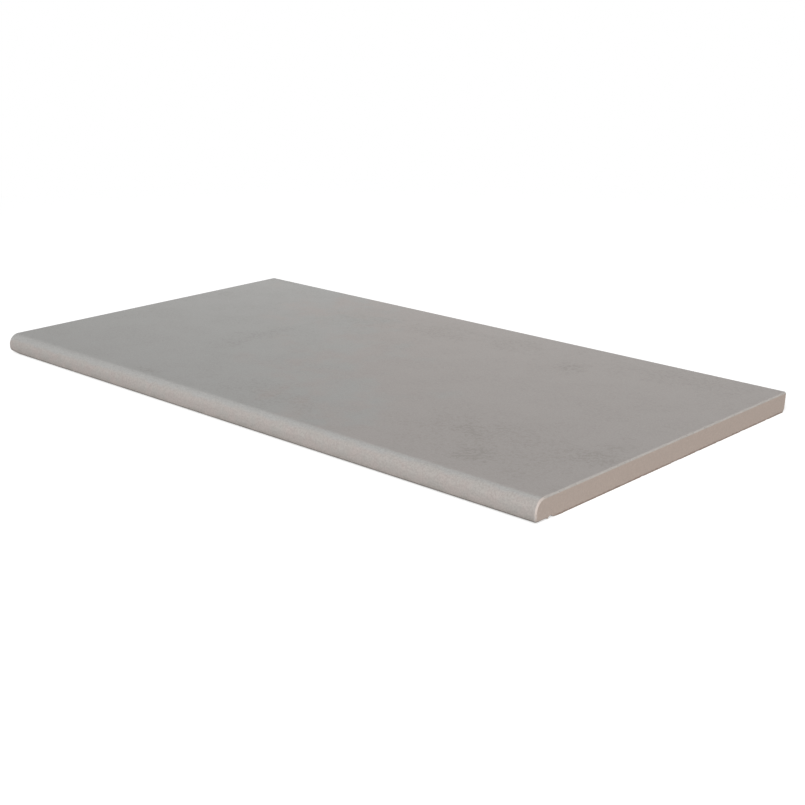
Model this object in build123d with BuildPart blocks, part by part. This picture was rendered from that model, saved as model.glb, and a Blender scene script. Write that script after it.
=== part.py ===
from build123d import *
import os

# Bullnose pool coping tile, one piece of pressed and fired porcelain.
# Millimetres, +X along the nose, +Y from the nose to the back edge, +Z up.
# The origin is under the middle of the tile, on the plane that it beds on.

# Overall size
length = 609.6
width = 330.2
thickness = 17.0

# Nose, the rounded front edge that overhangs the water
nose_top_radius = 9.5
nose_foot_radius = 2.5
nose_foot_rise = 0.7  # from the bed plane up to the nose's foot

# Drip groove under the nose, where water falls off before it reaches the pool wall
drip_setback = 16.0  # from the front of the nose to the middle of the groove
drip_width = 6.0
drip_depth = 1.6  # from the nose's foot up to the groove's crown

# Underside behind the groove, which comes down to the bed plane in one shallow curve
bed_setback = 30.0  # from the front of the nose to the start of the bed plane

# Back edge, with the draft and the lower taper that the die leaves
back_draft_angle = 5.0
back_arris_radius = 2.0
back_taper_setback = 5.0  # from the back of the tile to the end of the bed plane
back_taper_height = 4.5

# Sawn ends, where a narrow bevel eases the glazed edge
end_ease = 1.3

# Pressed relief of the back, a grid of shallow cells that keys into the bed
relief_pitch = 24.0
relief_rib = 4.0
relief_depth = 0.7
relief_draft_angle = 35.0
relief_end_land = 6.0  # least width of the plain land along a sawn end
relief_side_land = 5.0  # least width of the plain land along the bed's front and back

# Places from the nose to the back edge
front = -width / 2
back = width / 2
drip_front = front + drip_setback - drip_width / 2
drip_middle = front + drip_setback
drip_back = front + drip_setback + drip_width / 2
bed_front = front + bed_setback
bed_back = back - back_taper_setback

# The grid has as many whole cells as the bed plane takes between its lands
relief_cell = relief_pitch - relief_rib
bed_depth = bed_back - bed_front
cells_along = int((length - 2 * relief_end_land + relief_rib) / relief_pitch)
cells_across = int((bed_depth - 2 * relief_side_land + relief_rib) / relief_pitch)

with BuildPart() as coping:
    # The section runs from the groove round the nose, over the top and back along the bed
    with BuildSketch(Plane.YZ):
        with BuildLine():
            foot = Line(
                (drip_front, nose_foot_rise),
                (front + nose_foot_radius, nose_foot_rise),
            )
            foot_round = RadiusArc(
                foot @ 1,
                (front, nose_foot_rise + nose_foot_radius),
                nose_foot_radius,
            )
            nose_face = Line(foot_round @ 1, (front, thickness - nose_top_radius))
            nose_round = RadiusArc(
                nose_face @ 1,
                (front + nose_top_radius, thickness),
                nose_top_radius,
            )
            top = Line(nose_round @ 1, (back - back_arris_radius, thickness))
            back_arris = JernArc(
                top @ 1,
                top % 1,
                back_arris_radius,
                -(90 + back_draft_angle),
            )
            back_face = PolarLine(
                back_arris @ 1,
                (back_arris @ 1).Y - back_taper_height,
                direction=back_arris % 1,
                length_mode=LengthMode.VERTICAL,
            )
            back_taper = Line(back_face @ 1, (bed_back, 0))
            bed = Line(back_taper @ 1, (bed_front, 0))
            rise = TangentArc(bed @ 1, (drip_back, nose_foot_rise), tangent=bed % 1)
            drip = ThreePointArc(
                rise @ 1,
                (drip_middle, nose_foot_rise + drip_depth),
                foot @ 0,
            )
        make_face()
    extrude(amount=length / 2, both=True)

    # At each sawn end the bevel follows the glaze, from the groove round to the back's taper
    for end in (0, -1):
        sawn_face = coping.faces().sort_by(Axis.X)[end]
        glazed_edges = sawn_face.edges().filter_by(
            lambda edge: edge.center().Z > back_taper_height or edge.center().Y < drip_front
        )
        chamfer(glazed_edges, length=end_ease)

    # The cells open at the bed plane and narrow upwards, so the die lets go of them
    with BuildSketch(Plane.XY):
        with Locations((0, (bed_front + bed_back) / 2)):
            with GridLocations(relief_pitch, relief_pitch, cells_along, cells_across):
                Rectangle(relief_cell, relief_cell)
    extrude(amount=relief_depth, taper=relief_draft_angle, mode=Mode.SUBTRACT)

coping.part.label = "coping_tile"

os.makedirs("parts", exist_ok=True)
export_step(coping.part, "parts/coping_tile.step")
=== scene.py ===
# %% [markdown]
# A pool coping caps the wall of a swimming pool. This one is a single porcelain tile, pressed and fired in
# one piece: a flat slab with a rounded nose along one long side, a drip groove under the nose, and a ribbed
# back that beds in mortar. A matt glaze that looks like cement covers the top and the nose. A saw cut the
# tile to length, so both ends show the bare beige body.
#
# The measured model is loaded first, because it settles the tile's size and place. Everything after it is
# modelled round that box, in metres and in the same frame.

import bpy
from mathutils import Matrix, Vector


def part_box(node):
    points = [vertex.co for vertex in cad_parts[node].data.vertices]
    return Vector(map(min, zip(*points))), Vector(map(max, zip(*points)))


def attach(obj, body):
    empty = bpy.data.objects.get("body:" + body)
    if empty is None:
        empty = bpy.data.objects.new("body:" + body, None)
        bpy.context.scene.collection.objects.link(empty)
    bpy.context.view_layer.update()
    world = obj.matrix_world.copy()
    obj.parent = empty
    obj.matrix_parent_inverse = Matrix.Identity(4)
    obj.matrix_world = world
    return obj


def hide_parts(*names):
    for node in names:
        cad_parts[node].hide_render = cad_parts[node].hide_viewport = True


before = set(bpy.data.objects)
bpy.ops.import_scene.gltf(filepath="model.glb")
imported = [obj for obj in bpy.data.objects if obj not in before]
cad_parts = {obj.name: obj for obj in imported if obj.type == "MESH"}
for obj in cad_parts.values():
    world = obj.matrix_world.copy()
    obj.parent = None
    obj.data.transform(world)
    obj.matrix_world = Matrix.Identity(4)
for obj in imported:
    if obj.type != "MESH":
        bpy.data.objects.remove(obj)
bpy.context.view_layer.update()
low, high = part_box("coping_tile")
print("the measured tile spans", tuple(round(side, 4) for side in high - low), "metres")

# %% The tools
import math

import bmesh
import bpy
from mathutils import Matrix, Vector

# %% [markdown]
# A coping tile is made of a few plain dimensions. The box gives the overall length, width and thickness. The
# nose is two quarter rounds with a short plumb face between them, and its foot hangs a little above the bed,
# so the front of the tile never rocks on the mortar. Nearly every later step cuts or rounds at one of these.

# %% The tile's dimensions
MM = 0.001

front = low.y
back = high.y
top = high.z
half_length = high.x
middle_height = top / 2

nose_top_radius = 9.5 * MM
nose_foot_radius = 2.5 * MM
foot_rise = 0.7 * MM

drip_width = 6.0 * MM
drip_depth = 1.6 * MM
drip_middle = front + 16.0 * MM
drip_front = drip_middle - drip_width / 2
drip_back = drip_middle + drip_width / 2
bed_front = front + 30.0 * MM

back_draft = math.radians(5.0)
back_arris_radius = 2.0 * MM
back_taper_height = 4.5 * MM
bed_back = back - 5.0 * MM

glaze_ease = 1.3 * MM
print("the bed runs from", round(bed_front, 4), "to", round(bed_back, 4), "metres across the tile")

# %% [markdown]
# A product photograph of a tile is taken from close by with a longish lens, so the near corner looms a
# little and the long sides converge. The camera stands at the place worked out from the tile's outline. Its
# tilt is given as an azimuth and an elevation, as on a tripod head, and a fifth of a degree of roll is added
# last, about the line of sight. The Standard view transform shows a colour as it is written.

# %% The camera
camera_place = Vector((826.8 * MM, -860.7 * MM, 356.6 * MM))
camera_azimuth = math.radians(42.593)
camera_elevation = math.radians(17.533)
camera_roll = math.radians(0.214)
camera_lens = 64.31  # millimetres, on the usual 36 mm sensor

turn = Matrix.Rotation(camera_azimuth, 4, "Z")
tilt = Matrix.Rotation(math.pi / 2 - camera_elevation, 4, "X")
roll = Matrix.Rotation(camera_roll, 4, "Z")
bpy.ops.object.camera_add()
camera = bpy.context.object
camera.name = "photographers_camera"
camera.matrix_world = Matrix.Translation(camera_place) @ turn @ tilt @ roll
camera.data.lens = camera_lens
bpy.context.scene.camera = camera
bpy.context.scene.view_settings.view_transform = "Standard"
print("the camera is", round(camera_place.length, 3), "metres from the middle of the tile")

# %% [markdown]
# Materials and the world are both trees of shader nodes. Four small helpers keep them short: one links a
# socket or sets its value, one adds a node with its settings, one does arithmetic, and one turns a range of a
# value into another.

# %% Helpers for shader nodes
NODE_GAP = 200  # the nodes stand side by side in the shader editor


def feed(tree, socket, value):
    """Link a socket to another node's output, or give it a plain value."""
    if isinstance(value, bpy.types.NodeSocket):
        tree.links.new(value, socket)
    else:
        socket.default_value = value


def add_node(tree, kind, inputs=(), **settings):
    """Add a shader node, choose its settings and feed the inputs that are named."""
    node = tree.nodes.new("ShaderNode" + kind)
    node.location = (NODE_GAP * len(tree.nodes), 0)
    for name, value in settings.items():
        setattr(node, name, value)
    for name, value in dict(inputs).items():
        feed(tree, node.inputs[name], value)
    return node


def calculate(tree, operation, first, second=0.0):
    """Add a Math node and return its result."""
    node = add_node(tree, "Math", operation=operation)
    feed(tree, node.inputs[0], first)
    feed(tree, node.inputs[1], second)
    return node.outputs["Value"]


def ramp(tree, value, start, finish, low_end=0.0, high_end=1.0):
    """Turn one range of a value smoothly into another, and hold it at both ends."""
    ends = {"From Min": start, "From Max": finish, "To Min": low_end, "To Max": high_end}
    node = add_node(tree, "MapRange", {"Value": value, **ends}, interpolation_type="SMOOTHSTEP")
    return node.outputs["Result"]


# %% [markdown]
# The tile was photographed in an even white studio. A world that is white all round gives the soft fill, and
# it is dim, because a large lamp adds the rest. The camera and the reflections should see plain white behind
# the tile, so the Light Path node swaps in a full white for those rays. That changes what is seen and not how
# brightly the tile is lit.

# %% The white room
fill_strength = 0.38


def showing_rays(tree):
    """One for rays of the camera, of reflections and of clear glass, and zero for light on things."""
    ray = add_node(tree, "LightPath").outputs
    seen = calculate(tree, "MAXIMUM", ray["Is Camera Ray"], ray["Is Glossy Ray"])
    return calculate(tree, "MAXIMUM", seen, ray["Is Transmission Ray"])


world = bpy.data.worlds.new("white_room")
world.use_nodes = True
bpy.context.scene.world = world
room = world.node_tree
room.nodes.clear()
fill = add_node(room, "Background", {"Color": (1, 1, 1, 1), "Strength": fill_strength})
surround = add_node(room, "Background", {"Color": (1, 1, 1, 1), "Strength": 1.0})
either = add_node(room, "MixShader", {"Fac": showing_rays(room)})
feed(room, either.inputs[1], fill.outputs[0])
feed(room, either.inputs[2], surround.outputs[0])
add_node(room, "OutputWorld", {"Surface": either.outputs[0]})
print("the room fills with", fill_strength, "of full white")

# %% [markdown]
# The nose of the tile is lighter than its top, so the main light came from the front, about as high as the
# brightest line on the nose faces. One large square lamp stands there, like a softbox. It is bigger than the
# tile and well back from it, so its shadow has a soft edge. Its power is worked out from the light it should
# lay on the tile. A lamp of power P lights a surface at distance d with P / (pi d^2), and a white matt
# surface sends one part in pi of that to the camera.

# %% The softbox
key_azimuth = math.radians(30)
key_elevation = math.radians(36)
key_distance = 9.0
key_size = 5.2
key_level = 1.0  # the part of full white that it adds to a surface that faces it

key_direction = Vector((
    math.sin(key_azimuth) * math.cos(key_elevation),
    -math.cos(key_azimuth) * math.cos(key_elevation),
    math.sin(key_elevation),
))
bpy.ops.object.light_add(type="AREA")
softbox = bpy.context.object
softbox.name = "softbox"
softbox.location = key_direction * key_distance
softbox.rotation_euler = key_direction.to_track_quat("Z", "Y").to_euler()
softbox.data.shape = "SQUARE"
softbox.data.size = key_size
softbox.data.energy = key_level * math.pi**2 * key_distance**2
print("the softbox gives", round(softbox.data.energy, 1), "watts")

# %% [markdown]
# The tile lies on a white sweep. The floor bounces light up to the foot of the nose, as a real one does. To
# the camera a part of it glows by itself, just enough for the open floor to come out white, while the shadow
# under the tile still darkens the rest. The softbox fades over the metres behind the tile, so away from the
# tile the camera sees a plain white instead, which starts well outside the shadow.

# %% The floor
floor_half = 30.0
floor_colour = 0.6
floor_glow = 0.55
shadow_reach = 0.45  # metres from the middle of the tile
white_reach = 1.1


def calculate_vector(tree, operation, first, second=(0, 0, 0)):
    """Add a Vector Math node and return its result, which is a plain number for a length."""
    node = add_node(tree, "VectorMath", operation=operation)
    feed(tree, node.inputs[0], first)
    feed(tree, node.inputs[1], second)
    return node.outputs["Value" if operation == "LENGTH" else "Vector"]


bpy.ops.mesh.primitive_plane_add(size=2 * floor_half)
floor = bpy.context.object
floor.name = "studio_floor"
floor_paint = bpy.data.materials.new("white_sweep")
floor_paint.use_nodes = True
tree = floor_paint.node_tree
tree.nodes.clear()
matt = add_node(tree, "BsdfDiffuse", {"Color": (floor_colour, floor_colour, floor_colour, 1)})
seen = showing_rays(tree)
glow = add_node(tree, "Emission", {"Strength": calculate(tree, "MULTIPLY", seen, floor_glow)})
both = add_node(tree, "AddShader")
feed(tree, both.inputs[0], matt.outputs[0])
feed(tree, both.inputs[1], glow.outputs[0])
away = calculate_vector(tree, "LENGTH", add_node(tree, "NewGeometry").outputs["Position"])
is_far = ramp(tree, away, shadow_reach, white_reach)
sweep = add_node(tree, "MixShader", {"Fac": calculate(tree, "MULTIPLY", seen, is_far)})
feed(tree, sweep.inputs[1], both.outputs[0])
feed(tree, sweep.inputs[2], add_node(tree, "Emission", {"Strength": 1.0}).outputs[0])
add_node(tree, "OutputMaterial", {"Surface": sweep.outputs[0]})
floor.data.materials.append(floor_paint)
print("the floor is", 2 * floor_half, "metres wide")

# %% [markdown]
# Shaping by hand means selecting something and using an operator on it. A script can't click, so it selects
# by place or by normal. The first helper clears the selection and picks every vertex, edge or face that
# passes a small test. It returns how many it picked, which shows at once if a test missed.

# %% Helpers for edit mode
CLOSE = 0.01 * MM
SQUARE_ON = 0.9  # a normal with more than this of an axis in it points along that axis


def select(kind, test):
    """Select only the vertices, edges or faces of the edited mesh that pass a test."""
    bpy.ops.mesh.select_mode(type=kind)
    bpy.ops.mesh.select_all(action="DESELECT")
    mesh = bpy.context.object.data
    shape = bmesh.from_edit_mesh(mesh)
    items = {"VERT": shape.verts, "EDGE": shape.edges, "FACE": shape.faces}[kind]
    chosen = [item for item in items if test(item)]
    for item in chosen:
        item.select_set(True)
    bmesh.update_edit_mesh(mesh)
    return len(chosen)


def centre(item):
    """The middle of an edge or a face."""
    return sum((vert.co for vert in item.verts), Vector()) / len(item.verts)


def near(value, target):
    """True where a coordinate is at a place."""
    return abs(value - target) < CLOSE


def long_edge_at(y, z):
    """A test for the edge that runs the length of the tile at one place in its section."""
    return lambda edge: all(near(vert.co.y, y) and near(vert.co.z, z) for vert in edge.verts)


# %% [markdown]
# The press makes the tile as one long bar of constant section, and the saw cuts the ends later. The blank
# copies that: a cube at the tile's size and place, with both end faces taken off, is a sleeve. The section is
# shaped along the whole sleeve, and the ends are closed later.

# %% The blank
bpy.ops.object.select_all(action="DESELECT")
bpy.ops.mesh.primitive_cube_add(size=1, location=(low + high) / 2, scale=high - low)
coping = bpy.context.object
coping.name = "glazed_coping"
bpy.ops.object.transform_apply(location=True, rotation=False, scale=True)

bpy.ops.object.mode_set(mode="EDIT")
select("FACE", lambda face: abs(face.normal.x) > SQUARE_ON)
bpy.ops.mesh.delete(type="ONLY_FACE")
print("the blank is", tuple(round(side, 4) for side in coping.dimensions), "metres")

# %% [markdown]
# The underside needs a few lines of its own: two between which the eased edge of each end will fade out, the
# two lips of the drip groove, and the corner from which the foot rises. Bisecting only the bottom face draws
# each line from end to end and leaves the top in one piece. What lies in front of the corner is the foot, and
# it is lifted off the bed.

# %% Lines of the underside
ease_fade = drip_front - 0.6 * MM
ease_stop = drip_front - 0.2 * MM
rise_corner = (drip_back + bed_front) / 2

for line in (ease_fade, ease_stop, drip_front, drip_back, rise_corner):
    select("FACE", lambda face: face.normal.z < -SQUARE_ON)
    bpy.ops.mesh.bisect(plane_co=(0, line, 0), plane_no=(0, 1, 0))

lifted = select("VERT", lambda vert: vert.co.z < CLOSE and vert.co.y < drip_back + CLOSE)
bpy.ops.transform.translate(value=(0, 0, foot_rise))
print("lifted", lifted, "corners of the foot by", foot_rise, "metres")

# %% [markdown]
# The back edge still shows how the tile left its die. It leans in by a few degrees so the punch can let go,
# and a lower taper keeps mortar from squeezing out. The face is bisected where the taper starts. Its corners
# are then slid to where the sloping face meets the top plane and the bed plane, so that the rounding that
# follows just touches the box.

# %% The back edge
select("FACE", lambda face: face.normal.y > SQUARE_ON)
bpy.ops.mesh.bisect(plane_co=(0, 0, back_taper_height), plane_no=(0, 0, 1))

arris_tangent = back_arris_radius * math.tan((math.pi / 2 + back_draft) / 2)
top_corner = back - back_arris_radius + arris_tangent
taper_corner = top_corner - (top - back_taper_height) * math.tan(back_draft)
for height, place in ((top, top_corner), (back_taper_height, taper_corner), (0, bed_back)):
    select("VERT", lambda vert: near(vert.co.y, back) and near(vert.co.z, height))
    bpy.ops.transform.translate(value=(0, place - back, 0))
print("the back face leans in to", round(taper_corner, 5), "metres")

# %% [markdown]
# The nose was ground round before it was glazed. The Bevel operator rounds an edge with a true arc, and on a
# square corner its offset is the radius. Many segments let the highlight run smoothly along the nose. The
# same operator rounds the back arris and the long gentle rise from the bed to the foot.

# %% Round the long edges
TRUE_ARC = 0.5  # the profile of a round bevel
nose_segments = 28
foot_segments = 12
arris_segments = 10
rise_segments = 8


def bevel(offset, segments, profile=TRUE_ARC):
    """Bevel the selected edges."""
    bpy.ops.mesh.bevel(offset=offset, segments=segments, profile=profile, affect="EDGES")


def round_edge(y, z, offset, segments):
    """Round one long edge of the sleeve."""
    count = select("EDGE", long_edge_at(y, z))
    bevel(offset, segments)
    print("rounded", count, "edge over", round(offset / MM, 2), "mm")


round_edge(front, top, nose_top_radius, nose_segments)
round_edge(front, foot_rise, nose_foot_radius, foot_segments)
round_edge(top_corner, top, arris_tangent, arris_segments)
round_edge(rise_corner, 0, bed_front - rise_corner, rise_segments)

# %% [markdown]
# The two ends of a ground nose are never quite alike. In the photograph the left tip is rounder below than
# the right one, as if the stone had dwelt there. So the foot's round opens out over its last few millimetres.
# It is bisected where the opening starts, and its end is scaled about the corner that the round replaces.
# That scales the radius and leaves both faces beside it flat.

# %% Open the foot's round at the left end
left_foot_radius = 5.5 * MM
opening_length = 14.0 * MM
opening_growth = left_foot_radius / nose_foot_radius


def is_left_foot_end(vert):
    """True on the end of the foot's round, where the tile stops at the left."""
    reach = nose_foot_radius + CLOSE
    in_round = vert.co.y < front + reach and vert.co.z < foot_rise + reach
    return near(vert.co.x, -half_length) and in_round


select("FACE", lambda face: centre(face).y < ease_fade and centre(face).z < top - nose_top_radius)
bpy.ops.mesh.bisect(plane_co=(opening_length - half_length, 0, 0), plane_no=(1, 0, 0))
opened = select("VERT", is_left_foot_end)
bpy.ops.transform.resize(value=(1, opening_growth, opening_growth), center_override=(0, front, foot_rise))
print("opened", opened, "points of the foot's round to", round(left_foot_radius / MM, 2), "mm")

# %% [markdown]
# Water that runs round the nose drops off at the lip of the drip groove. The groove is part of a cylinder,
# so it is spun: its flat strip is taken out, one lip is swept about the cylinder's axis to the other lip, and
# the two lines that meet there are merged. The crown's height shows at once if the spin went the wrong way.

# %% The drip groove
merge_distance = 0.06 * MM
half_width = drip_width / 2
drip_radius = (half_width**2 + drip_depth**2) / (2 * drip_depth)
drip_axis = (0, drip_middle, foot_rise + drip_depth - drip_radius)
drip_turn = 2 * math.asin(half_width / drip_radius)
drip_steps = 14

select("FACE", lambda face: near(centre(face).y, drip_middle) and centre(face).z < middle_height)
bpy.ops.mesh.delete(type="FACE")
select("EDGE", long_edge_at(drip_front, foot_rise))
bpy.ops.mesh.spin(steps=drip_steps, angle=drip_turn, center=drip_axis, axis=(1, 0, 0))
bpy.ops.mesh.select_all(action="SELECT")
bpy.ops.mesh.remove_doubles(threshold=merge_distance)
bpy.ops.object.mode_set(mode="OBJECT")
crown_line = [vert.co.z for vert in coping.data.vertices if near(vert.co.y, drip_middle)]
crown = max(height for height in crown_line if height < middle_height)
print("the groove's radius and crown are", round(drip_radius / MM, 3), "and", round(crown / MM, 3), "mm")

# %% [markdown]
# Now the saw cuts the bar to length. Each open end of the sleeve is a ring of edges, and one face fills it.
# The tile is closed from here on, so its normals can be worked out to point outwards.

# %% Close the ends
bpy.ops.object.mode_set(mode="EDIT")
for end in (-half_length, half_length):
    ring = select("EDGE", lambda edge: all(near(vert.co.x, end) for vert in edge.verts))
    bpy.ops.mesh.edge_face_add()
    print("closed an end over", ring, "edges")
bpy.ops.mesh.select_all(action="SELECT")
bpy.ops.mesh.normals_make_consistent(inside=False)

# %% [markdown]
# A narrow bevel eases the glazed edge of each end, from the drip groove round the nose to the top and down
# to the back's taper. In the photograph it is the thin pale line round the sawn end. A profile below a half
# makes it nearly flat, as a hand stone leaves it, with its two edges just broken. Under the foot the bevel
# ends part of the way along a straight edge, where it would stop like a step. So the points of its last
# profile are drawn together into the corner, and the ease fades out just before the groove.

# %% Ease the glazed edge
ease_segments = 3
ease_profile = 0.32


def is_glazed_edge(edge):
    """True for an edge of a sawn end in front of the groove or above the back's taper."""
    place = centre(edge)
    return near(abs(place.x), half_length) and (place.z > back_taper_height or place.y < ease_stop)


def is_ease_end(vert):
    """True for the points of the last profile of the bevel, under the foot."""
    return near(vert.co.y, ease_stop) and abs(vert.co.x) > half_length - glaze_ease - CLOSE


eased = select("EDGE", is_glazed_edge)
print("eased", eased, "short edges at the two ends")
bevel(glaze_ease, ease_segments, ease_profile)
for end in (-half_length, half_length):
    faded = select("VERT", lambda vert: is_ease_end(vert) and vert.co.x * end > 0)
    bpy.ops.transform.resize(value=(0, 0, 0), center_override=(end, ease_stop, foot_rise))
    bpy.ops.mesh.remove_doubles(threshold=merge_distance)
    print("drew", faded, "points together where the ease fades out")

# %% [markdown]
# A diamond saw nibbles the lower edge of the body as it leaves the cut, because no glaze holds it together.
# The edge will need vertices for that, and only there. So a line is bisected close to it on each side, one on
# the sawn face and one on the bed, before the bed is divided further. Two short cuts across the strip on
# the sawn face mark where the nibbled stretch starts and ends.

# %% Lines for the nibbled edge
DEAD_SQUARE = 0.99  # stricter, so that it leaves out the eased edge
nibble_margin = 0.6 * MM


def is_bed(face):
    """True for the faces that lie on the bed plane."""
    return all(near(vert.co.z, 0) for vert in face.verts)


def is_saw_strip(face):
    """True for the narrow strips along the lower edges of the sawn ends."""
    on_end = all(near(abs(vert.co.x), half_length) for vert in face.verts)
    return on_end and all(vert.co.z < nibble_margin + CLOSE for vert in face.verts)


select("FACE", lambda face: abs(face.normal.x) > DEAD_SQUARE)
bpy.ops.mesh.bisect(plane_co=(0, 0, nibble_margin), plane_no=(0, 0, 1))
for side in (-1, 1):
    select("FACE", is_bed)
    bpy.ops.mesh.bisect(plane_co=(side * (half_length - nibble_margin), 0, 0), plane_no=(1, 0, 0))
for line in (bed_front, bed_back):
    strips = select("FACE", is_saw_strip)
    bpy.ops.mesh.bisect(plane_co=(0, line, 0), plane_no=(0, 1, 0))
print("marked", strips, "strips along the sawn ends")

# %% [markdown]
# The back of the tile is pressed with a grid of shallow cells, so that the mortar keys into it. The bed is
# first bisected into squares, along the middles of the ribs. The lines that run along the tile also cut the
# strips on the sawn ends, which keeps both sides of the nibbled edge alike.

# %% Squares for the relief
relief_pitch = 24.0 * MM
cells_along = 25
cells_across = 12
relief_middle = (bed_front + bed_back) / 2
relief_reach = Vector((cells_along, cells_across)) * relief_pitch / 2

for row in range(cells_across + 1):
    place = relief_middle - relief_reach.y + row * relief_pitch
    select("FACE", lambda face: is_bed(face) or is_saw_strip(face))
    bpy.ops.mesh.bisect(plane_co=(0, place, 0), plane_no=(0, 1, 0))
for column in range(cells_along + 1):
    place = -relief_reach.x + column * relief_pitch
    select("FACE", is_bed)
    bpy.ops.mesh.bisect(plane_co=(place, 0, 0), plane_no=(1, 0, 0))
print("the grid is", round(2 * relief_reach.x / MM), "by", round(2 * relief_reach.y / MM), "mm")

# %% [markdown]
# Insetting every square by itself by half a rib leaves the ribs standing. A second inset, which also goes in
# by the relief's depth, gives each cell its sloping sides. A small bevel then softens its rim and the edge of
# its floor, because a pressed edge is never sharp.

# %% Press the cells
relief_rib = 4.0 * MM
relief_depth = 0.7 * MM
relief_draft = math.radians(35.0)
relief_soft = 0.18 * MM
relief_segments = 2
relief_fold = math.radians(20)  # a flatter edge than this isn't softened


def in_grid(item):
    """True for what lies inside the grid of cells."""
    place = centre(item)
    return abs(place.x) < relief_reach.x and abs(place.y - relief_middle) < relief_reach.y


def is_pressed_edge(edge):
    """True for the folded edges of the cells, at their rims and round their floors."""
    return in_grid(edge) and centre(edge).z < middle_height and edge.calc_face_angle(0) > relief_fold


cells = select("FACE", lambda face: is_bed(face) and in_grid(face))
relief_slope = relief_depth * math.tan(relief_draft)
bpy.ops.mesh.inset(thickness=relief_rib / 2, use_individual=True)
bpy.ops.mesh.inset(thickness=relief_slope, depth=-relief_depth, use_individual=True)
select("EDGE", is_pressed_edge)
bevel(relief_soft, relief_segments)
print("pressed", cells, "cells into the back")

# %% [markdown]
# Now the three lines beside each lower edge are subdivided every millimetre. Edges between the grid's lines
# differ in length from the rest, so each stretch across the tile has its own turn.

# %% Vertices along the nibbled edge
nibble_spacing = 1.0 * MM


def subdivide_saw_edges(start, finish):
    """Divide the lines beside the lower saw edges, over one stretch across the tile."""
    def is_saw_line(edge):
        along = edge.verts[1].co - edge.verts[0].co
        place = centre(edge)
        return (
            abs(along.y) > DEAD_SQUARE * along.length
            and abs(place.x) > half_length - nibble_margin - CLOSE
            and place.z < nibble_margin + CLOSE
            and start < place.y < finish
        )

    count = select("EDGE", is_saw_line)
    chosen = [edge for edge in bmesh.from_edit_mesh(coping.data).edges if edge.select]
    longest = max(edge.calc_length() for edge in chosen)
    bpy.ops.mesh.subdivide(number_cuts=round(longest / nibble_spacing) - 1)
    print("divided", count, "lines of", round(longest / MM, 1), "mm")


grid_front = relief_middle - relief_reach.y
grid_back = relief_middle + relief_reach.y
subdivide_saw_edges(bed_front, grid_front)
subdivide_saw_edges(grid_front, grid_back)
subdivide_saw_edges(grid_back, bed_back)

# %% [markdown]
# The nibbling has two scales. First the whole edge is set back by a hair and roughened with Randomize, which
# takes a seed, so it comes out the same every time. It goes back by more than it is roughened, so the tile
# keeps its length and still lies flat.

# %% Nibble the lower edges
nibble_depth = 0.10 * MM
nibble_roughness = 0.07 * MM
nibble_seed = 7


def on_lower_saw_edge(vert, end, start=bed_front + CLOSE, finish=bed_back - CLOSE):
    """True on the lower edge of one sawn end, over a stretch across the tile."""
    at_edge = abs(vert.co.x - end) < nibble_margin / 2 and vert.co.z < nibble_margin / 2
    return at_edge and start < vert.co.y < finish


for end in (-half_length, half_length):
    inwards = -math.copysign(nibble_depth, end)
    select("VERT", lambda vert: on_lower_saw_edge(vert, end))
    bpy.ops.transform.translate(value=(inwards, 0, nibble_depth))
    bpy.ops.transform.vertex_random(offset=nibble_roughness, uniform=1.0, seed=nibble_seed)
print("roughened both lower edges by", round(nibble_roughness / MM, 2), "mm")

# %% [markdown]
# Then come a few larger chips, where the photograph shows notches at the right end. Each is a group of
# vertices pushed up and in.

# %% Chip the right end
# Each chip is its place behind the nose, its length along the edge and its depth, in millimetres
chips = (
    (124, 3, 0.25),
    (165, 6, 0.35),
    (171, 3, 0.2),
    (197, 5, 0.5),
    (226, 4, 0.25),
    (262, 5, 0.3),
    (301, 3, 0.2),
)
for place, chip_length, depth in chips:
    start = front + (place - chip_length / 2) * MM
    finish = start + chip_length * MM
    count = select("VERT", lambda vert: on_lower_saw_edge(vert, half_length, start, finish))
    bpy.ops.transform.translate(value=(-depth * MM, 0, depth * MM))
    print("a chip of", count, "vertices at", place, "mm behind the nose")
bpy.ops.object.mode_set(mode="OBJECT")

# %% [markdown]
# The tile's faces are flat, but its rounds have to shade as one smooth surface. Shading smooth by angle does
# that and keeps every real corner crisp. On its own it would tilt the light a little over the whole top,
# because the top is a single large face beside the nose's narrow strips. The Weighted Normal modifier lets
# the large face keep its own direction and gives the bend to the strips.

# %% Smooth the rounds
smooth_angle = math.radians(32)

bpy.ops.object.select_all(action="DESELECT")
coping.select_set(True)
bpy.context.view_layer.objects.active = coping
bpy.ops.object.shade_smooth_by_angle(angle=smooth_angle)
bpy.ops.object.modifier_add(type="WEIGHTED_NORMAL")
coping.modifiers[-1].keep_sharp = True
bpy.ops.object.modifier_apply(modifier=coping.modifiers[-1].name)
print("the finished tile has", len(coping.data.polygons), "faces")

# %% [markdown]
# Now the finishes. A matt porcelain glaze is printed to look like trowelled cement: wide clouds that run from
# cool to warm grey, smaller blotches inside them, and a fine grain. The same clouds and the same grain turn
# up in the fired body and on the back, so each becomes a node group that is built once and set differently in
# every material. Patterns are placed by Object coordinates, in metres, so a patch 60 mm wide is written as
# 0.06 and stays where it is from every view.

# %% Helpers for node groups
NOISE_SHIFT = (0.83, 0.57, 0.31)  # metres


def new_group(name, inputs, outputs):
    """Start a shader node group with named float or vector sockets."""
    group = bpy.data.node_groups.new(name, "ShaderNodeTree")
    for direction, sockets in (("INPUT", inputs), ("OUTPUT", outputs)):
        for socket, kind in sockets.items():
            group.interface.new_socket(socket, in_out=direction, socket_type="NodeSocket" + kind)
    entry = group.nodes.new("NodeGroupInput").outputs
    leave = group.nodes.new("NodeGroupOutput").inputs
    return group, entry, leave


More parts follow.
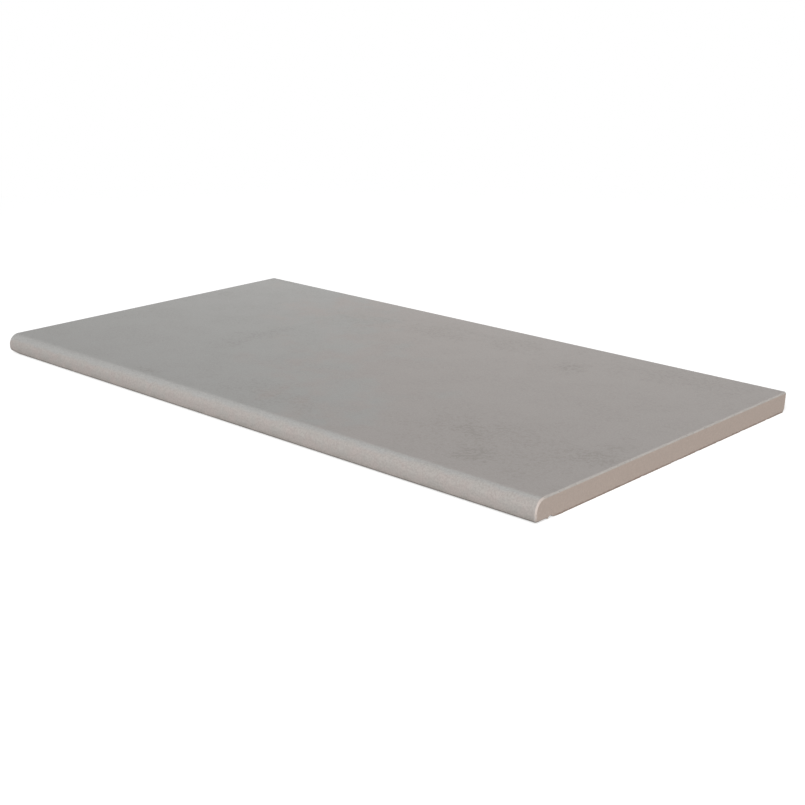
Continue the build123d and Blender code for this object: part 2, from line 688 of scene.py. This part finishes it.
def place_group(tree, group, inputs):
    """Put a node group into a material with its own values, and return its outputs."""
    node = tree.nodes.new("ShaderNodeGroup")
    node.node_tree = group
    node.location = (NODE_GAP * len(tree.nodes), -NODE_GAP)
    for name, value in inputs.items():
        feed(tree, node.inputs[name], value)
    return node.outputs


def add_share(tree, value, amount, share):
    """Add a share of an amount to a value."""
    return calculate(tree, "ADD", value, calculate(tree, "MULTIPLY", amount, share))


def layered_noise(tree, place, scale, detail, roughness):
    """Add a noise with finer layers over it, and return its grey."""
    inputs = {"Vector": place, "Scale": scale, "Detail": detail, "Roughness": roughness}
    return add_node(tree, "TexNoise", inputs).outputs["Fac"]


def off_centre(tree, place):
    """Move a place away from the origin, where a noise's layers line up and draw straight borders."""
    return calculate_vector(tree, "ADD", place, NOISE_SHIFT)


# %% [markdown]
# Clouds are layered noise with its middle range stretched, so that most of the surface is either in a patch
# or out of it, with soft borders. The size of a patch is an input, in metres.

# %% The cement clouds group
NOISE_MIDDLE = 0.5

clouds, entry, leave = new_group(
    "cement_clouds",
    {"Place": "Vector", "Patch Size": "Float", "Softness": "Float"},
    {"Cloud": "Float"},
)
frequency = calculate(clouds, "DIVIDE", 1.0, entry["Patch Size"])
noise = layered_noise(clouds, off_centre(clouds, entry["Place"]), frequency, detail=5.0, roughness=0.6)
lowest = calculate(clouds, "SUBTRACT", NOISE_MIDDLE, entry["Softness"])
highest = calculate(clouds, "ADD", NOISE_MIDDLE, entry["Softness"])
feed(clouds, leave["Cloud"], ramp(clouds, noise, lowest, highest))
print("made the group", clouds.name)


def cloudy(tree, place, patch_size, softness):
    """Put the clouds into a material, and return how deep in a patch each point is."""
    inputs = {"Place": place, "Patch Size": patch_size, "Softness": softness}
    return place_group(tree, clouds, inputs)["Cloud"]


# %% [markdown]
# Fired clay and matt glaze are never smooth close to. The grain group gives an even sandy noise and, apart
# from it, a scatter of specks: a Voronoi texture puts one point in every cell, and a random number for each
# cell decides whether that point shows.

# %% The sandy grain group
speck_edge = 0.45  # how far a speck reaches, in cells
speck_core = 0.15

grain, entry, leave = new_group(
    "sandy_grain",
    {"Place": "Vector", "Grain Size": "Float", "Speck Size": "Float", "Speck Share": "Float"},
    {"Grain": "Float", "Specks": "Float"},
)
frequency = calculate(grain, "DIVIDE", 1.0, entry["Grain Size"])
noise = layered_noise(grain, entry["Place"], frequency, detail=3.0, roughness=0.65)
feed(grain, leave["Grain"], ramp(grain, noise, 0.3, 0.7))
frequency = calculate(grain, "DIVIDE", 1.0, entry["Speck Size"])
cell = add_node(grain, "TexVoronoi", {"Vector": entry["Place"], "Scale": frequency}).outputs
lottery = add_node(grain, "SeparateColor", {"Color": cell["Color"]}).outputs["Red"]
drawn = calculate(grain, "LESS_THAN", lottery, entry["Speck Share"])
dot = ramp(grain, cell["Distance"], speck_edge, speck_core)
feed(grain, leave["Specks"], calculate(grain, "MULTIPLY", drawn, dot))
print("made the group", grain.name)


def sandy(tree, place, grain_size, speck_size, speck_share):
    """Put the grain into a material, and return its grain and its specks."""
    sizes = {"Grain Size": grain_size, "Speck Size": speck_size, "Speck Share": speck_share}
    return place_group(tree, grain, {"Place": place, **sizes})


# %% [markdown]
# The clouds alone would put the darker places anywhere. Where one catches the eye in the photograph, a ragged
# patch is placed there: a soft ellipse with a border that noise pushes about, so it isn't a round stain.

# %% The ragged patch group
ragged_frequency = 45.0  # waves of the noise in a metre
patch_edge = 1.1  # in reaches of the ellipse
patch_core = 0.2

patch, entry, leave = new_group(
    "ragged_patch",
    {"Place": "Vector", "Centre": "Vector", "Reach": "Vector", "Raggedness": "Float"},
    {"Patch": "Float"},
)
offset = calculate_vector(patch, "SUBTRACT", entry["Place"], entry["Centre"])
distance = calculate_vector(patch, "LENGTH", calculate_vector(patch, "DIVIDE", offset, entry["Reach"]))
moved = off_centre(patch, entry["Place"])
noise = layered_noise(patch, moved, ragged_frequency, detail=6.0, roughness=0.7)
border = add_share(patch, distance, calculate(patch, "SUBTRACT", noise, NOISE_MIDDLE), entry["Raggedness"])
feed(patch, leave["Patch"], ramp(patch, border, patch_edge, patch_core))
print("made the group", patch.name)

# %% [markdown]
# Colours are written as a paint chart gives them, and made linear for the shader. Three more helpers mix two
# colours, darken one where an amount is high, and stain it with another there.

# %% Helpers for colours
def paint(red, green, blue):
    """A colour as a paint chart gives it, from 0 to 255, made linear by the sRGB curve."""
    parts = []
    for part in (red, green, blue):
        share = part / 255
        parts.append(share / 12.92 if share <= 0.04045 else ((share + 0.055) / 1.055) ** 2.4)
    return (*parts, 1.0)


def blend(tree, amount, first, second, kind="MIX"):
    """Mix two colours by an amount, through the Mix node's colour sockets, which go by number."""
    node = add_node(tree, "Mix", data_type="RGBA", blend_type=kind)
    feed(tree, node.inputs[0], amount)
    feed(tree, node.inputs[6], first)
    feed(tree, node.inputs[7], second)
    return node.outputs[2]


def shade(tree, colour, amount, strength):
    """Darken a colour where an amount is high, by a share of its brightness."""
    level = calculate(tree, "SUBTRACT", 1.0, calculate(tree, "MULTIPLY", amount, strength))
    return blend(tree, 1.0, colour, level, "MULTIPLY")


def stain(tree, colour, amount, strength, other):
    """Mix another colour in where an amount is high, up to a share."""
    return blend(tree, calculate(tree, "MULTIPLY", amount, strength), colour, other)


# %% [markdown]
# Every material starts the same way: a Principled shader and the Object coordinates of the piece, which are
# taken apart into X along the nose, Y towards the back and Z up. Each ends the same way too. The roughness
# follows the fine grain, and a shallow bump breaks up the light, as it does on a real matt surface.

# %% Helpers for materials
def new_material(name):
    """Start a material and return it with its tree, its shader and the piece's own coordinates."""
    material = bpy.data.materials.new(name)
    material.use_nodes = True
    tree = material.node_tree
    shader = tree.nodes["Principled BSDF"]
    place = add_node(tree, "TexCoord").outputs["Object"]
    axes = add_node(tree, "SeparateXYZ", {"Vector": place}).outputs
    return material, tree, shader, place, axes


def set_surface(tree, shader, colour, fine, roughness, specular):
    """Give a shader its colour, a roughness for each end of the grain, and its specular level."""
    feed(tree, shader.inputs["Base Color"], colour)
    feed(tree, shader.inputs["Roughness"], ramp(tree, fine["Grain"], 0.0, 1.0, *roughness))
    shader.inputs["Specular IOR Level"].default_value = specular


def set_bump(tree, shader, height, strength, depth):
    """Bend the light a little where a height rises and falls."""
    bump = add_node(tree, "Bump", {"Height": height, "Strength": strength, "Distance": depth})
    feed(tree, shader.inputs["Normal"], bump.outputs["Normal"])


# %% [markdown]
# The matt glaze has two greys. A cool one covers the front left of the top and a warm one the rest, and they
# meet along a ragged border that runs aslant. Over them lies a slow drift of a few parts in a hundred, which
# is painted light: a painted sheen makes the top paler towards the back and the back left corner, and painted
# shade darkens it towards the front right. Every factor here stays small, because the real surface is nearly
# even, and more would look dirty.

# %% The two greys of the glaze
cool_glaze = paint(161, 160, 158)
warm_glaze = paint(163, 158, 155)
border_slant = 0.79  # how far the border moves along the tile for each step across it
border_ragged = 0.10
border_fray = 0.22
border_range = (0.04, 0.20)
painted_sheen_back = 0.095  # a share of the brightness, from the middle of the top to its back edge
painted_shade_right = 0.045
painted_shade_corner = 0.045

glaze, tree, shader, place, axes = new_material("matt_cement_glaze")
slanted = add_share(tree, axes["X"], axes["Y"], border_slant)
slanted = add_share(tree, slanted, cloudy(tree, place, patch_size=0.07, softness=0.2), border_ragged)
slanted = add_share(tree, slanted, cloudy(tree, place, patch_size=0.026, softness=0.3), border_fray)
colour = blend(tree, ramp(tree, slanted, *border_range), cool_glaze, warm_glaze)

rearward = calculate(tree, "DIVIDE", axes["Y"], back)
rightward = calculate(tree, "DIVIDE", axes["X"], half_length)
corner = calculate(tree, "MULTIPLY", rearward, rightward)
# painted sheen and painted shade: paler towards the back and the back left, darker towards the front right
painted_sheen_drift = calculate(tree, "MULTIPLY", rearward, painted_sheen_back)
painted_sheen_drift = add_share(tree, painted_sheen_drift, rightward, -painted_shade_right)
painted_sheen_drift = add_share(tree, painted_sheen_drift, corner, -painted_shade_corner)
top_colour = blend(tree, 1.0, colour, calculate(tree, "ADD", painted_sheen_drift, 1.0), "MULTIPLY")
print("the two greys take", len(tree.nodes), "nodes")

# %% [markdown]
# The darker places on the top aren't clouds but clusters of fine grey-brown specks, as if the cement had been
# dusted. Each one that catches the eye in the photograph is listed one by one as a ragged patch, and a faint
# random scatter fills in between. The specks are the peaks of a fine noise. Where the dust is thick the noise
# is raised, so that more and wider peaks stand out and the specks crowd together.

# %% The dusted clusters
dust_colour = paint(118, 114, 107)
dust_strength = 0.46
scatter_share = 0.26
cluster_ragged = 3.2
crowding_share = 0.25
peak_start = 0.52
peak_full = 0.82
between_peaks = 0.25

# Each cluster is its centre and its reach in millimetres, and its strength
clusters = (
    ((215, -85), (110, 75), 0.42),
    ((186, -84), (34, 28), 0.66),
    ((216, -122), (34, 24), 0.70),
    ((282, -70), (34, 50), 0.62),
    ((0, -128), (95, 36), 0.42),
    ((-136, -15), (24, 66), 0.50),
    ((-95, 100), (56, 44), 0.42),
    ((-30, 118), (56, 36), 0.45),
    ((50, 128), (56, 34), 0.42),
    ((136, 102), (26, 24), 0.62),
    ((-122, -150), (24, 9), 0.60),
    ((-286, 76), (14, 16), 0.50),
    ((230, 138), (100, 36), 0.40),
)
scatter = cloudy(tree, place, patch_size=0.036, softness=0.12)
dusted = calculate(tree, "MULTIPLY", scatter, scatter_share)
for (along, across), (half_along, half_across), strength in clusters:
    middle = (along * MM, across * MM, top)
    reach = (half_along * MM, half_across * MM, 1.0)  # so tall that height doesn't count
    shape = {"Centre": middle, "Reach": reach, "Raggedness": cluster_ragged}
    mask = place_group(tree, patch, {"Place": place, **shape})["Patch"]
    dusted = calculate(tree, "MAXIMUM", dusted, calculate(tree, "MULTIPLY", mask, strength))
mottle = cloudy(tree, place, patch_size=0.0038, softness=0.3)
crowding = add_share(tree, mottle, dusted, crowding_share)
peaks = ramp(tree, crowding, peak_start, peak_full, between_peaks, 1.0)
speckled = calculate(tree, "MULTIPLY", dusted, peaks)
top_colour = stain(tree, top_colour, speckled, dust_strength, dust_colour)
print("placed", len(clusters), "clusters")

# %% [markdown]
# On the nose the glaze is a little paler, and two things change down its curve. A cool band runs along the
# crest, where the spray met the edge square on, and it is wider at the left. Below it the glaze is warm, and
# towards the foot it darkens and browns, partly as thinner glaze that lets the brown of the body show through
# and partly as painted shade from the floor. A dark line of painted shade runs along its lowest millimetres.
# The left end is a touch darker, which is painted shade too.

# %% The glaze on the nose
crest_colour = paint(164, 163, 161)
nose_colour = paint(165, 161, 157)
blush_colour = paint(167, 159, 155)
foot_brown_and_shade_colour = paint(118, 110, 103)
painted_foot_line_colour = paint(96, 84, 76)
crest_narrowing = 0.005  # metres of its width for each metre to the right

fine = sandy(tree, place, grain_size=0.0014, speck_size=0.0022, speck_share=0.2)
blotch = cloudy(tree, place, patch_size=0.014, softness=0.16)
uneven_height = add_share(tree, axes["Z"], blotch, 2.0 * MM)
crest_height = add_share(tree, uneven_height, axes["X"], -crest_narrowing)
below_crest = ramp(tree, crest_height, top - 0.2 * MM, top - 3.5 * MM)
# painted shade: the nose is darker towards its left end
painted_shade_left_end = ramp(tree, axes["X"], -0.05, -0.28)
# darker towards the foot: partly thinner glaze, partly painted shade
thin_glaze_and_shade = ramp(tree, uneven_height, 8.0 * MM, 0.8 * MM)
# painted shade: a dark line along the lowest millimetres of the nose, just above the floor
painted_foot_line = ramp(tree, axes["Z"], 2.5 * MM, 1.1 * MM)

warm_nose = blend(tree, blotch, nose_colour, blush_colour)
nose = blend(tree, below_crest, crest_colour, warm_nose)
nose = shade(tree, nose, painted_shade_left_end, 0.045)
nose = stain(tree, nose, thin_glaze_and_shade, 0.50, foot_brown_and_shade_colour)
nose = stain(tree, nose, painted_foot_line, 0.85, painted_foot_line_colour)
nose = shade(tree, nose, fine["Grain"], 0.14)
print("with the nose the glaze has", len(tree.nodes), "nodes")

# %% [markdown]
# The two parts are joined where the nose rounds into the top. No spray reaches the flat under the foot, so
# the glaze frays out there and the bare body shows. A fine grain and a few specks go over all of it, and a
# shallow sandy bump breaks up the light.

# %% Finish the glaze
body_colour = paint(184, 169, 159)
nose_end = front + nose_top_radius

border = add_share(tree, axes["Y"], blotch, 1.0 * MM)
on_nose = ramp(tree, border, nose_end + 0.6 * MM, nose_end - 3.4 * MM)
spray_end = add_share(tree, axes["Y"], blotch, 2.0 * MM)
behind_spray = ramp(tree, spray_end, front + 2.5 * MM, front + 6.0 * MM)
at_the_bottom = ramp(tree, axes["Z"], foot_rise + 0.5 * MM, foot_rise)
under_foot = calculate(tree, "MULTIPLY", behind_spray, at_the_bottom)

colour = blend(tree, on_nose, top_colour, nose)
colour = blend(tree, under_foot, colour, body_colour)
colour = shade(tree, colour, fine["Grain"], 0.04)
colour = shade(tree, colour, fine["Specks"], 0.06)
set_surface(tree, shader, colour, fine, roughness=(0.60, 0.76), specular=0.25)
sand = sandy(tree, place, grain_size=0.0009, speck_size=0.002, speck_share=0.3)
height = calculate(tree, "SUBTRACT", sand["Grain"], sand["Specks"])
set_bump(tree, shader, height, strength=0.6, depth=0.05 * MM)
print("the whole glaze has", len(tree.nodes), "nodes")

# %% [markdown]
# The eased edge cuts through the glaze and into the pale slip under it, so it reads as a light line. Along
# the top it is nearly the glaze's own grey and only catches more light. Round the nose the stone went deeper,
# and the line turns paler and pinker. Under the foot there is no glaze to cut, so only the bare body's edge
# is broken. Its two borders are ragged, and dark pits show where a grain was plucked out.

# %% The eased edge
slip_grey = paint(180, 175, 170)
slip_pink = paint(194, 183, 176)

slip, tree, shader, place, axes = new_material("eased_slip_edge")
fine = sandy(tree, place, grain_size=0.0016, speck_size=0.0018, speck_share=0.1)
worn = cloudy(tree, place, patch_size=0.007, softness=0.14)
round_nose = ramp(tree, axes["Y"], front + 14.0 * MM, front + 5.0 * MM)
near_foot = ramp(tree, axes["Z"], 7.0 * MM, 2.0 * MM)
behind_spray = ramp(tree, axes["Y"], front + 2.5 * MM, front + 5.0 * MM)
bare = calculate(tree, "MULTIPLY", ramp(tree, axes["Z"], 3.5 * MM, 2.2 * MM), behind_spray)

# The step across the bevel runs from 0 at the glaze to 1 at the body
from_end = calculate(tree, "SUBTRACT", half_length, calculate(tree, "ABSOLUTE", axes["X"]))
step = calculate(tree, "SUBTRACT", 1.0, calculate(tree, "DIVIDE", from_end, glaze_ease))
step = add_share(tree, step, calculate(tree, "SUBTRACT", worn, NOISE_MIDDLE), 0.5)
still_glazed = ramp(tree, step, 0.35, 0.05)

colour = blend(tree, round_nose, slip_grey, slip_pink)
# darker and browner towards the foot: partly thinner glaze, partly painted shade
colour = stain(tree, colour, near_foot, 0.4, foot_brown_and_shade_colour)
colour = blend(tree, still_glazed, colour, warm_glaze)
colour = blend(tree, bare, colour, body_colour)
colour = shade(tree, colour, worn, 0.12)
colour = shade(tree, colour, fine["Grain"], 0.06)
colour = shade(tree, colour, fine["Specks"], 0.2)
set_surface(tree, shader, colour, fine, roughness=(0.60, 0.75), specular=0.3)
set_bump(tree, shader, fine["Grain"], strength=0.5, depth=0.05 * MM)
print("the eased edge has", len(tree.nodes), "nodes")

# %% [markdown]
# The sawn body is beige and quite even. Close to it shows the grains of the clay and the faint score marks of
# the blade, which run nearly upright because the blade crosses the tile from front to back. Noise squeezed
# along one axis by a Mapping node makes such marks. Its last millimetre is darker along the lower edge, which
# is painted shade where the end meets the floor.

# %% The sawn body
pale_colour = paint(206, 194, 184)
lower_edge_shade_colour = paint(124, 106, 92)
score_squeeze = (1.0, 1100.0, 40.0)
score_lean = (0.1, 0, 0)

body, tree, shader, place, axes = new_material("sawn_body")
fine = sandy(tree, place, grain_size=0.0014, speck_size=0.0022, speck_share=0.2)
pale = sandy(tree, place, grain_size=0.004, speck_size=0.0031, speck_share=0.12)
# painted shade: the lowest millimetre of the sawn end is darker along its lower edge
lower_edge_shade_line = add_share(tree, axes["Z"], pale["Grain"], 0.6 * MM)
colour = shade(tree, body_colour, fine["Grain"], 0.07)
colour = shade(tree, colour, fine["Specks"], 0.08)
colour = stain(tree, colour, pale["Specks"], 0.25, pale_colour)
colour = stain(tree, colour, ramp(tree, lower_edge_shade_line, 2.2 * MM, 0.9 * MM), 0.75, lower_edge_shade_colour)
set_surface(tree, shader, colour, fine, roughness=(0.70, 0.85), specular=0.3)

squeezed = add_node(tree, "Mapping", {"Vector": place, "Scale": score_squeeze, "Rotation": score_lean})
scores = layered_noise(tree, squeezed.outputs["Vector"], 1.0, detail=2.0, roughness=0.5)
height = calculate(tree, "ADD", fine["Grain"], scores)
set_bump(tree, shader, height, strength=0.6, depth=0.04 * MM)
print("the sawn body has", len(tree.nodes), "nodes")

# %% [markdown]
# The underside and the back edge are the body as the press left it. Tiles are fired on rollers, and a white
# wash on the ribs keeps them from sticking, so the ribs are dusted white and the cells between them aren't.
# The wash is rolled on, so it stops short of the back's taper. On the back edge the glaze was sprayed a
# little past the arris, and it ends in a ragged line.

# %% The pressed back
pressed_colour = paint(182, 168, 158)
wash_colour = paint(208, 204, 198)

back_skin, tree, shader, place, axes = new_material("pressed_back")
fine = sandy(tree, place, grain_size=0.0018, speck_size=0.003, speck_share=0.25)
worn = cloudy(tree, place, patch_size=0.012, softness=0.14)
broad = cloudy(tree, place, patch_size=0.12, softness=0.2)
before_taper = ramp(tree, axes["Y"], bed_back - 0.1 * MM, bed_back - 1.5 * MM)
on_rib = calculate(tree, "MULTIPLY", ramp(tree, axes["Z"], 0.25 * MM, 0.05 * MM), before_taper)
wash = calculate(tree, "MULTIPLY", on_rib, ramp(tree, worn, 0.0, 1.0, 0.25, 0.85))
spray_end = add_share(tree, axes["Z"], worn, 2.0 * MM)

colour = shade(tree, pressed_colour, fine["Grain"], 0.08)
colour = shade(tree, colour, broad, 0.06)
colour = shade(tree, colour, fine["Specks"], 0.1)
colour = blend(tree, wash, colour, wash_colour)
colour = blend(tree, ramp(tree, spray_end, top - 4.0 * MM, top - 1.5 * MM), colour, warm_glaze)
set_surface(tree, shader, colour, fine, roughness=(0.75, 0.90), specular=0.25)
set_bump(tree, shader, fine["Grain"], strength=0.7, depth=0.08 * MM)
print("the pressed back has", len(tree.nodes), "nodes")

# %% [markdown]
# One mesh carries all four finishes. Three tests tell the sawn ends, the eased edge and the pressed back from
# the rest, by where a face lies and which way it looks.

# %% Where each finish lies
LEANING = 0.08  # the least that the normal of the eased edge leans towards the end


def is_sawn(face):
    """True on the sawn ends, with their nibbled lower edge."""
    return abs(centre(face).x) > half_length - nibble_margin / 2 and abs(face.normal.x) > SQUARE_ON


def is_eased(face):
    """True on the narrow bevel round the glazed edge."""
    return abs(centre(face).x) > half_length - glaze_ease and LEANING < abs(face.normal.x) < DEAD_SQUARE


def is_pressed(face):
    """True on the underside behind the foot and on the back edge below its arris."""
    place = centre(face)
    low_behind_foot = place.y > drip_front and place.z < back_taper_height
    on_back_edge = face.normal.y > 0.5 and place.z < top - 2 * back_arris_radius
    return on_back_edge or (low_behind_foot and abs(face.normal.x) < SQUARE_ON)


# %% [markdown]
# The glaze is put on everything first, and the other three are assigned over it in edit mode. The eased edge
# comes before the back and the sawn ends, because their nibbled edge leans too.

# %% Lay the finishes on the tile
def lay(finish, test):
    """Give a finish to the faces that pass a test."""
    count = select("FACE", test)
    coping.active_material_index = coping.data.materials.find(finish.name)
    bpy.ops.object.material_slot_assign()
    print(finish.name, "is on", count, "faces")


for finish in (glaze, slip, body, back_skin):
    coping.data.materials.append(finish)
bpy.ops.object.mode_set(mode="EDIT")
lay(glaze, lambda face: True)
lay(slip, is_eased)
lay(back_skin, is_pressed)
lay(body, is_sawn)
bpy.ops.object.mode_set(mode="OBJECT")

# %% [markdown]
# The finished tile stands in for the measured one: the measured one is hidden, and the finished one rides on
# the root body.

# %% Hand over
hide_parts("coping_tile")
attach(coping, "root")
